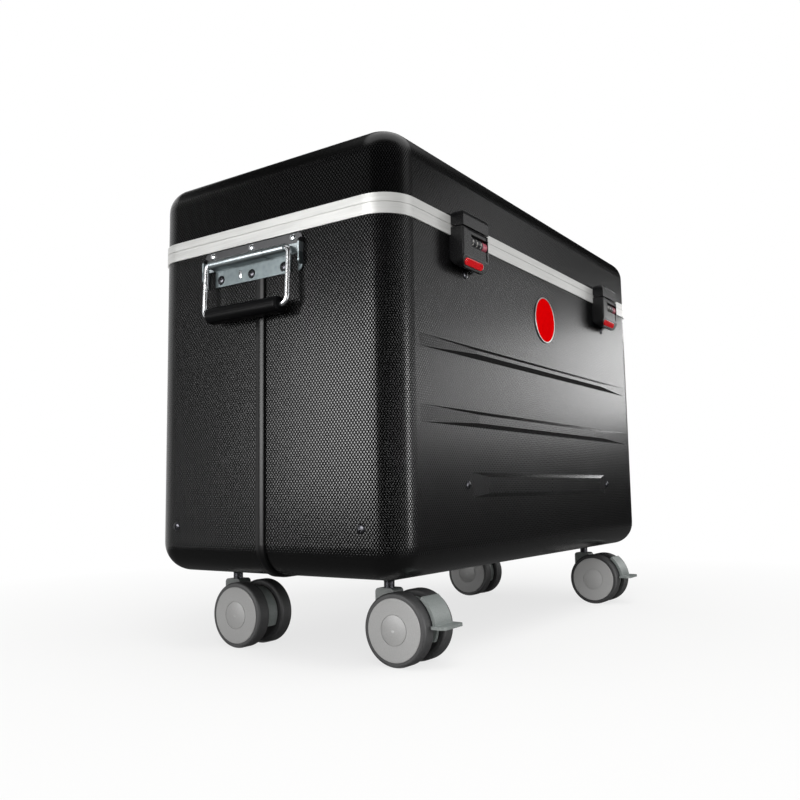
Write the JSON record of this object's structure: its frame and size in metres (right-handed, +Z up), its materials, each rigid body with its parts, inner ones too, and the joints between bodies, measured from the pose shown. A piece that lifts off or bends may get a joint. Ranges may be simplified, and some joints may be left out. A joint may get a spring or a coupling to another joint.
{
  "type": "device charging trolley",
  "caption": "Black hard-shell trolley case on twin-wheel castors with a hinged lid, combination locks and folding side handles, holding an upright tablet rack and a charging unit.",
  "frame": {"origin": "on the floor under the middle of the trolley", "axes": "+Z up, X along the case, the locks at -Y and the lid's hinges at +Y"},
  "size_m": [0.7258, 0.3739, 0.5397],
  "materials": {
    "case_plastic": "black thermoformed ABS with a fine diamond grain",
    "seam_plastic": "smooth black extruded plastic",
    "frame_aluminium": "satin anodised extrusion",
    "hinge_aluminium": "satin anodised extrusion",
    "zinc_steel": "bright zinc-plated pressed steel",
    "rivet_steel": "bright domed rivets",
    "pin_steel": "drawn steel wire",
    "chrome_wire": "bright chromed wire",
    "grip_rubber": "satin black moulding",
    "lock_plastic": "satin black moulding",
    "button_plastic": "glossy red moulding",
    "dial_plastic": "dark moulding with pale numbers",
    "tyre_rubber": "dark grey non-marking tread",
    "cover_plastic": "light grey moulding",
    "fork_plastic": "grey moulding",
    "rack_plastic": "dark grey moulded plastic",
    "charger_plastic": "fine-textured black moulding",
    "inlet_plastic": "black moulding",
    "seal_rubber": "soft black sponge rubber",
    "lid_foam": "dark grey convoluted foam"
  },
  "bodies": {
    "base": {"front_shell": "case_plastic", "rear_shell": "case_plastic", "seam_strip": "seam_plastic", "base_frame": "frame_aluminium", "castor_plates": "zinc_steel", "castor_stems": "zinc_steel", "handle_plate_left": "zinc_steel", "handle_plate_right": "zinc_steel", "handle_rivets": "rivet_steel", "lock_body_left": "lock_plastic", "lock_body_right": "lock_plastic", "dial_axles": "pin_steel", "hinge_base_leaves": "hinge_aluminium", "rack_tray": "rack_plastic", "device_dividers": "rack_plastic", "charging_unit": "charger_plastic", "power_inlet": "inlet_plastic"},
    "lid": {"lid_shell": "case_plastic", "lid_frame": "frame_aluminium", "lid_seal": "seal_rubber", "lid_foam": "lid_foam", "hinge_lid_leaves": "hinge_aluminium", "hinge_pins": "pin_steel", "lock_keepers": "lock_plastic"},
    "hasp_left": {"lock_hasp_left": "lock_plastic"},
    "button_left": {"release_button_left": "button_plastic"},
    "dial_left_1": {"dial_left_1": "dial_plastic"},
    "dial_left_2": {"dial_left_2": "dial_plastic"},
    "dial_left_3": {"dial_left_3": "dial_plastic"},
    "handle_left": {"handle_bail_left": "chrome_wire", "handle_grip_left": "grip_rubber"},
    "hasp_right": {"lock_hasp_right": "lock_plastic"},
    "button_right": {"release_button_right": "button_plastic"},
    "dial_right_1": {"dial_right_1": "dial_plastic"},
    "dial_right_2": {"dial_right_2": "dial_plastic"},
    "dial_right_3": {"dial_right_3": "dial_plastic"},
    "handle_right": {"handle_bail_right": "chrome_wire", "handle_grip_right": "grip_rubber"},
    "castor_front_left": {"castor_fork_front_left": "fork_plastic"},
    "wheel_front_left_left": {"wheel_front_left_left": "tyre_rubber", "wheel_cover_front_left_left": "cover_plastic"},
    "wheel_front_left_right": {"wheel_front_left_right": "tyre_rubber", "wheel_cover_front_left_right": "cover_plastic"},
    "castor_front_right": {"castor_fork_front_right": "fork_plastic"},
    "wheel_front_right_left": {"wheel_front_right_left": "tyre_rubber", "wheel_cover_front_right_left": "cover_plastic"},
    "wheel_front_right_right": {"wheel_front_right_right": "tyre_rubber", "wheel_cover_front_right_right": "cover_plastic"},
    "castor_rear_left": {"castor_fork_rear_left": "fork_plastic"},
    "wheel_rear_left_left": {"wheel_rear_left_left": "tyre_rubber", "wheel_cover_rear_left_left": "cover_plastic"},
    "wheel_rear_left_right": {"wheel_rear_left_right": "tyre_rubber", "wheel_cover_rear_left_right": "cover_plastic"},
    "castor_rear_right": {"castor_fork_rear_right": "fork_plastic"},
    "wheel_rear_right_left": {"wheel_rear_right_left": "tyre_rubber", "wheel_cover_rear_right_left": "cover_plastic"},
    "wheel_rear_right_right": {"wheel_rear_right_right": "tyre_rubber", "wheel_cover_rear_right_right": "cover_plastic"},
    "pedal_front_left": {"brake_pedal_front_left": "fork_plastic"},
    "pedal_front_right": {"brake_pedal_front_right": "fork_plastic"}
  },
  "joints": [
    {"name": "lid_hinge", "type": "hinge", "parent": "base", "child": "lid", "pos_m": [0, 0.1789, 0.4569], "axis": [-1, 0, 0], "range_deg": [0, 100]},
    {"name": "hasp_left_hinge", "type": "hinge", "parent": "lid", "child": "hasp_left", "pos_m": [-0.205, -0.1835, 0.4657], "axis": [-1, 0, 0], "range_deg": [0, 95]},
    {"name": "button_left_press", "type": "slide", "parent": "base", "child": "button_left", "axis": [0, 0.9487, 0.3162], "range_m": [0, 0.002], "stiffness_N_per_m": 350},
    {"name": "dial_left_1_turn", "type": "hinge", "parent": "base", "child": "dial_left_1", "pos_m": [-0.2104, -0.18315, 0.4408], "axis": [1, 0, 0], "continuous": true},
    {"name": "dial_left_2_turn", "type": "hinge", "parent": "base", "child": "dial_left_2", "pos_m": [-0.2018, -0.18315, 0.4408], "axis": [1, 0, 0], "continuous": true},
    {"name": "dial_left_3_turn", "type": "hinge", "parent": "base", "child": "dial_left_3", "pos_m": [-0.1932, -0.18315, 0.4408], "axis": [1, 0, 0], "continuous": true},
    {"name": "handle_left_swing", "type": "hinge", "parent": "base", "child": "handle_left", "pos_m": [-0.3501, 0.013, 0.4267], "axis": [0, 1, 0], "range_deg": [0, 85]},
    {"name": "hasp_right_hinge", "type": "hinge", "parent": "lid", "child": "hasp_right", "pos_m": [0.205, -0.1835, 0.4657], "axis": [-1, 0, 0], "range_deg": [0, 95]},
    {"name": "button_right_press", "type": "slide", "parent": "base", "child": "button_right", "axis": [0, 0.9487, 0.3162], "range_m": [0, 0.002], "stiffness_N_per_m": 350},
    {"name": "dial_right_1_turn", "type": "hinge", "parent": "base", "child": "dial_right_1", "pos_m": [0.1996, -0.18315, 0.4408], "axis": [1, 0, 0], "continuous": true},
    {"name": "dial_right_2_turn", "type": "hinge", "parent": "base", "child": "dial_right_2", "pos_m": [0.2082, -0.18315, 0.4408], "axis": [1, 0, 0], "continuous": true},
    {"name": "dial_right_3_turn", "type": "hinge", "parent": "base", "child": "dial_right_3", "pos_m": [0.2168, -0.18315, 0.4408], "axis": [1, 0, 0], "continuous": true},
    {"name": "handle_right_swing", "type": "hinge", "parent": "base", "child": "handle_right", "pos_m": [0.3501, 0.013, 0.4267], "axis": [0, -1, 0], "range_deg": [0, 85]},
    {"name": "swivel_front_left", "type": "hinge", "parent": "base", "child": "castor_front_left", "pos_m": [-0.2645, -0.109, 0.0745], "axis": [0, 0, 1], "continuous": true},
    {"name": "roll_front_left_left", "type": "hinge", "parent": "castor_front_left", "child": "wheel_front_left_left", "pos_m": [-0.28325, -0.133, 0.0365], "axis": [1, 0, 0], "continuous": true},
    {"name": "roll_front_left_right", "type": "hinge", "parent": "castor_front_left", "child": "wheel_front_left_right", "pos_m": [-0.24575, -0.133, 0.0365], "axis": [1, 0, 0], "continuous": true},
    {"name": "swivel_front_right", "type": "hinge", "parent": "base", "child": "castor_front_right", "pos_m": [0.2645, -0.109, 0.0745], "axis": [0, 0, 1], "continuous": true},
    {"name": "roll_front_right_left", "type": "hinge", "parent": "castor_front_right", "child": "wheel_front_right_left", "pos_m": [0.24575, -0.133, 0.0365], "axis": [1, 0, 0], "continuous": true},
    {"name": "roll_front_right_right", "type": "hinge", "parent": "castor_front_right", "child": "wheel_front_right_right", "pos_m": [0.28325, -0.133, 0.0365], "axis": [1, 0, 0], "continuous": true},
    {"name": "swivel_rear_left", "type": "hinge", "parent": "base", "child": "castor_rear_left", "pos_m": [-0.2645, 0.109, 0.0745], "axis": [0, 0, 1], "continuous": true},
    {"name": "roll_rear_left_left", "type": "hinge", "parent": "castor_rear_left", "child": "wheel_rear_left_left", "pos_m": [-0.28325, 0.085, 0.0365], "axis": [1, 0, 0], "continuous": true},
    {"name": "roll_rear_left_right", "type": "hinge", "parent": "castor_rear_left", "child": "wheel_rear_left_right", "pos_m": [-0.24575, 0.085, 0.0365], "axis": [1, 0, 0], "continuous": true},
    {"name": "swivel_rear_right", "type": "hinge", "parent": "base", "child": "castor_rear_right", "pos_m": [0.2645, 0.109, 0.0745], "axis": [0, 0, 1], "continuous": true},
    {"name": "roll_rear_right_left", "type": "hinge", "parent": "castor_rear_right", "child": "wheel_rear_right_left", "pos_m": [0.24575, 0.085, 0.0365], "axis": [1, 0, 0], "continuous": true},
    {"name": "roll_rear_right_right", "type": "hinge", "parent": "castor_rear_right", "child": "wheel_rear_right_right", "pos_m": [0.28325, 0.085, 0.0365], "axis": [1, 0, 0], "continuous": true},
    {"name": "brake_front_left", "type": "hinge", "parent": "castor_front_left", "child": "pedal_front_left", "pos_m": [-0.2645, -0.133, 0.0365], "axis": [1, 0, 0], "range_deg": [0, 18]},
    {"name": "brake_front_right", "type": "hinge", "parent": "castor_front_right", "child": "pedal_front_right", "pos_m": [0.2645, -0.133, 0.0365], "axis": [1, 0, 0], "range_deg": [0, 18]}
  ]
}
